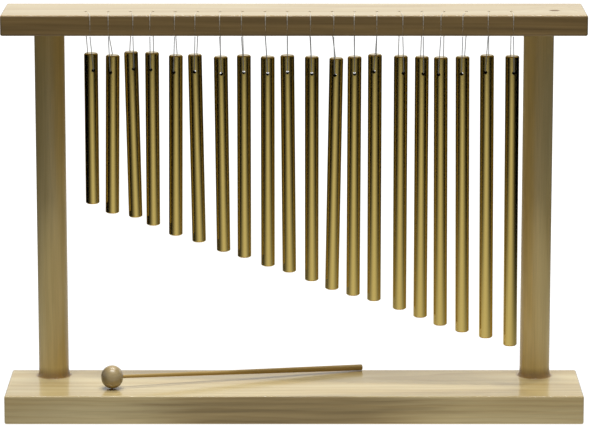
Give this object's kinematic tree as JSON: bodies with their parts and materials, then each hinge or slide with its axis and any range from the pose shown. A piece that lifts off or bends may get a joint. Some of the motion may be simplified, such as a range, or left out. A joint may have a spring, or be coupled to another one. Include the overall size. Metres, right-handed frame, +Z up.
{
  "type": "bar chimes",
  "caption": "Tabletop bar chimes: gold-coloured rods of growing length hang on clear nylon under a pine bar on two dowel posts, with a plank base and a loose wooden mallet.",
  "frame": {"origin": "centre of the base's underside, on the table", "axes": "+X to the right along the bar, towards the long rods; +Y to the back; +Z up"},
  "size_m": [0.42, 0.08, 0.2973],
  "materials": {
    "pine_plank": "satin clear lacquer",
    "pine_dowel": "satin clear lacquer",
    "gold_rod": "polished, gold anodised",
    "clear_nylon": "clear monofilament",
    "screw_steel": "zinc plated",
    "mallet_bead": "turned, satin lacquer",
    "mallet_dowel": "satin lacquer"
  },
  "bodies": {
    "stand": {"base": "pine_plank", "top_bar": "pine_plank", "left_post": "pine_dowel", "right_post": "pine_dowel", "post_screws": "screw_steel", "bar_strings": "clear_nylon"},
    "mallet": {"mallet_head": "mallet_bead", "mallet_stick": "mallet_dowel"},
    "loop_01": {"string_loop_01": "clear_nylon"},
    "rod_01": {"chime_rod_01": "gold_rod"},
    "loop_02": {"string_loop_02": "clear_nylon"},
    "rod_02": {"chime_rod_02": "gold_rod"},
    "loop_03": {"string_loop_03": "clear_nylon"},
    "rod_03": {"chime_rod_03": "gold_rod"},
    "loop_04": {"string_loop_04": "clear_nylon"},
    "rod_04": {"chime_rod_04": "gold_rod"},
    "loop_05": {"string_loop_05": "clear_nylon"},
    "rod_05": {"chime_rod_05": "gold_rod"},
    "loop_06": {"string_loop_06": "clear_nylon"},
    "rod_06": {"chime_rod_06": "gold_rod"},
    "loop_07": {"string_loop_07": "clear_nylon"},
    "rod_07": {"chime_rod_07": "gold_rod"},
    "loop_08": {"string_loop_08": "clear_nylon"},
    "rod_08": {"chime_rod_08": "gold_rod"},
    "loop_09": {"string_loop_09": "clear_nylon"},
    "rod_09": {"chime_rod_09": "gold_rod"},
    "loop_10": {"string_loop_10": "clear_nylon"},
    "rod_10": {"chime_rod_10": "gold_rod"},
    "loop_11": {"string_loop_11": "clear_nylon"},
    "rod_11": {"chime_rod_11": "gold_rod"},
    "loop_12": {"string_loop_12": "clear_nylon"},
    "rod_12": {"chime_rod_12": "gold_rod"},
    "loop_13": {"string_loop_13": "clear_nylon"},
    "rod_13": {"chime_rod_13": "gold_rod"},
    "loop_14": {"string_loop_14": "clear_nylon"},
    "rod_14": {"chime_rod_14": "gold_rod"},
    "loop_15": {"string_loop_15": "clear_nylon"},
    "rod_15": {"chime_rod_15": "gold_rod"},
    "loop_16": {"string_loop_16": "clear_nylon"},
    "rod_16": {"chime_rod_16": "gold_rod"},
    "loop_17": {"string_loop_17": "clear_nylon"},
    "rod_17": {"chime_rod_17": "gold_rod"},
    "loop_18": {"string_loop_18": "clear_nylon"},
    "rod_18": {"chime_rod_18": "gold_rod"},
    "loop_19": {"string_loop_19": "clear_nylon"},
    "rod_19": {"chime_rod_19": "gold_rod"},
    "loop_20": {"string_loop_20": "clear_nylon"},
    "rod_20": {"chime_rod_20": "gold_rod"}
  },
  "joints": [
    {"name": "mallet_lift", "type": "slide", "parent": "stand", "child": "mallet", "axis": [0, -0.9397, 0.342], "range_m": [0, 0.16]},
    {"name": "chime_01_sideways", "type": "hinge", "parent": "stand", "child": "loop_01", "pos_m": [-0.1457, -0.012, 0.28155], "axis": [0, -1, 0], "range_deg": [-5, 1.75]},
    {"name": "chime_01_front_back", "type": "hinge", "parent": "loop_01", "child": "rod_01", "pos_m": [-0.1457, -0.012, 0.28155], "axis": [1, 0, 0], "range_deg": [-45, 45], "deforming": ["string_loop_01"]},
    {"name": "chime_02_sideways", "type": "hinge", "parent": "stand", "child": "loop_02", "pos_m": [-0.13081, -0.012, 0.28155], "axis": [0, -1, 0], "range_deg": [-1.75, 2.75]},
    {"name": "chime_02_front_back", "type": "hinge", "parent": "loop_02", "child": "rod_02", "pos_m": [-0.13081, -0.012, 0.28155], "axis": [1, 0, 0], "range_deg": [-45, 45], "deforming": ["string_loop_02"]},
    {"name": "chime_03_sideways", "type": "hinge", "parent": "stand", "child": "loop_03", "pos_m": [-0.11584, -0.012, 0.28155], "axis": [0, -1, 0], "range_deg": [-2.75, 1]},
    {"name": "chime_03_front_back", "type": "hinge", "parent": "loop_03", "child": "rod_03", "pos_m": [-0.11584, -0.012, 0.28155], "axis": [1, 0, 0], "range_deg": [-45, 45], "deforming": ["string_loop_03"]},
    {"name": "chime_04_sideways", "type": "hinge", "parent": "stand", "child": "loop_04", "pos_m": [-0.1019, -0.012, 0.28155], "axis": [0, -1, 0], "range_deg": [-1, 2.35]},
    {"name": "chime_04_front_back", "type": "hinge", "parent": "loop_04", "child": "rod_04", "pos_m": [-0.1019, -0.012, 0.28155], "axis": [1, 0, 0], "range_deg": [-45, 45], "deforming": ["string_loop_04"]},
    {"name": "chime_05_sideways", "type": "hinge", "parent": "stand", "child": "loop_05", "pos_m": [-0.08526, -0.012, 0.28155], "axis": [0, -1, 0], "range_deg": [-2.35, 2.5]},
    {"name": "chime_05_front_back", "type": "hinge", "parent": "loop_05", "child": "rod_05", "pos_m": [-0.08526, -0.012, 0.28155], "axis": [1, 0, 0], "range_deg": [-45, 45], "deforming": ["string_loop_05"]},
    {"name": "chime_06_sideways", "type": "hinge", "parent": "stand", "child": "loop_06", "pos_m": [-0.07, -0.012, 0.28155], "axis": [0, -1, 0], "range_deg": [-2.5, 2.7]},
    {"name": "chime_06_front_back", "type": "hinge", "parent": "loop_06", "child": "rod_06", "pos_m": [-0.07, -0.012, 0.28155], "axis": [1, 0, 0], "range_deg": [-45, 45], "deforming": ["string_loop_06"]},
    {"name": "chime_07_sideways", "type": "hinge", "parent": "stand", "child": "loop_07", "pos_m": [-0.05185, -0.012, 0.28155], "axis": [0, -1, 0], "range_deg": [-2.7, 1.65]},
    {"name": "chime_07_front_back", "type": "hinge", "parent": "loop_07", "child": "rod_07", "pos_m": [-0.05185, -0.012, 0.28155], "axis": [1, 0, 0], "range_deg": [-45, 45], "deforming": ["string_loop_07"]},
    {"name": "chime_08_sideways", "type": "hinge", "parent": "stand", "child": "loop_08", "pos_m": [-0.036, -0.012, 0.28155], "axis": [0, -1, 0], "range_deg": [-1.65, 2.35]},
    {"name": "chime_08_front_back", "type": "hinge", "parent": "loop_08", "child": "rod_08", "pos_m": [-0.036, -0.012, 0.28155], "axis": [1, 0, 0], "range_deg": [-45, 45], "deforming": ["string_loop_08"]},
    {"name": "chime_09_sideways", "type": "hinge", "parent": "stand", "child": "loop_09", "pos_m": [-0.0189, -0.012, 0.28155], "axis": [0, -1, 0], "range_deg": [-2.3, 1.7]},
    {"name": "chime_09_front_back", "type": "hinge", "parent": "loop_09", "child": "rod_09", "pos_m": [-0.0189, -0.012, 0.28155], "axis": [1, 0, 0], "range_deg": [-45, 45], "deforming": ["string_loop_09"]},
    {"name": "chime_10_sideways", "type": "hinge", "parent": "stand", "child": "loop_10", "pos_m": [-0.00411, -0.012, 0.28155], "axis": [0, -1, 0], "range_deg": [-1.7, 1.9]},
    {"name": "chime_10_front_back", "type": "hinge", "parent": "loop_10", "child": "rod_10", "pos_m": [-0.00411, -0.012, 0.28155], "axis": [1, 0, 0], "range_deg": [-45, 45], "deforming": ["string_loop_10"]},
    {"name": "chime_11_sideways", "type": "hinge", "parent": "stand", "child": "loop_11", "pos_m": [0.0128, -0.012, 0.28155], "axis": [0, -1, 0], "range_deg": [-1.9, 1.35]},
    {"name": "chime_11_front_back", "type": "hinge", "parent": "loop_11", "child": "rod_11", "pos_m": [0.0128, -0.012, 0.28155], "axis": [1, 0, 0], "range_deg": [-45, 45], "deforming": ["string_loop_11"]},
    {"name": "chime_12_sideways", "type": "hinge", "parent": "stand", "child": "loop_12", "pos_m": [0.02892, -0.012, 0.28155], "axis": [0, -1, 0], "range_deg": [-1.35, 1.55]},
    {"name": "chime_12_front_back", "type": "hinge", "parent": "loop_12", "child": "rod_12", "pos_m": [0.02892, -0.012, 0.28155], "axis": [1, 0, 0], "range_deg": [-45, 45], "deforming": ["string_loop_12"]},
    {"name": "chime_13_sideways", "type": "hinge", "parent": "stand", "child": "loop_13", "pos_m": [0.04319, -0.012, 0.28155], "axis": [0, -1, 0], "range_deg": [-1.55, 1.4]},
    {"name": "chime_13_front_back", "type": "hinge", "parent": "loop_13", "child": "rod_13", "pos_m": [0.04319, -0.012, 0.28155], "axis": [1, 0, 0], "range_deg": [-45, 45], "deforming": ["string_loop_13"]},
    {"name": "chime_14_sideways", "type": "hinge", "parent": "stand", "child": "loop_14", "pos_m": [0.0581, -0.012, 0.28155], "axis": [0, -1, 0], "range_deg": [-1.4, 2.4]},
    {"name": "chime_14_front_back", "type": "hinge", "parent": "loop_14", "child": "rod_14", "pos_m": [0.0581, -0.012, 0.28155], "axis": [1, 0, 0], "range_deg": [-45, 45], "deforming": ["string_loop_14"]},
    {"name": "chime_15_sideways", "type": "hinge", "parent": "stand", "child": "loop_15", "pos_m": [0.0767, -0.012, 0.28155], "axis": [0, -1, 0], "range_deg": [-2.4, 1.3]},
    {"name": "chime_15_front_back", "type": "hinge", "parent": "loop_15", "child": "rod_15", "pos_m": [0.0767, -0.012, 0.28155], "axis": [1, 0, 0], "range_deg": [-45, 45], "deforming": ["string_loop_15"]},
    {"name": "chime_16_sideways", "type": "hinge", "parent": "stand", "child": "loop_16", "pos_m": [0.0918, -0.012, 0.28155], "axis": [0, -1, 0], "range_deg": [-1.3, 1.15]},
    {"name": "chime_16_front_back", "type": "hinge", "parent": "loop_16", "child": "rod_16", "pos_m": [0.0918, -0.012, 0.28155], "axis": [1, 0, 0], "range_deg": [-45, 45], "deforming": ["string_loop_16"]},
    {"name": "chime_17_sideways", "type": "hinge", "parent": "stand", "child": "loop_17", "pos_m": [0.10592, -0.012, 0.28155], "axis": [0, -1, 0], "range_deg": [-1.15, 1.45]},
    {"name": "chime_17_front_back", "type": "hinge", "parent": "loop_17", "child": "rod_17", "pos_m": [0.10592, -0.012, 0.28155], "axis": [1, 0, 0], "range_deg": [-45, 45], "deforming": ["string_loop_17"]},
    {"name": "chime_18_sideways", "type": "hinge", "parent": "stand", "child": "loop_18", "pos_m": [0.12171, -0.012, 0.28155], "axis": [0, -1, 0], "range_deg": [-1.45, 1.75]},
    {"name": "chime_18_front_back", "type": "hinge", "parent": "loop_18", "child": "rod_18", "pos_m": [0.12171, -0.012, 0.28155], "axis": [1, 0, 0], "range_deg": [-45, 45], "deforming": ["string_loop_18"]},
    {"name": "chime_19_sideways", "type": "hinge", "parent": "stand", "child": "loop_19", "pos_m": [0.13914, -0.012, 0.28155], "axis": [0, -1, 0], "range_deg": [-1.75, 1.85]},
    {"name": "chime_19_front_back", "type": "hinge", "parent": "loop_19", "child": "rod_19", "pos_m": [0.13914, -0.012, 0.28155], "axis": [1, 0, 0], "range_deg": [-45, 45], "deforming": ["string_loop_19"]},
    {"name": "chime_20_sideways", "type": "hinge", "parent": "stand", "child": "loop_20", "pos_m": [0.15707, -0.012, 0.28155], "axis": [0, -1, 0], "range_deg": [-1.85, 5]},
    {"name": "chime_20_front_back", "type": "hinge", "parent": "loop_20", "child": "rod_20", "pos_m": [0.15707, -0.012, 0.28155], "axis": [1, 0, 0], "range_deg": [-45, 45], "deforming": ["string_loop_20"]}
  ]
}
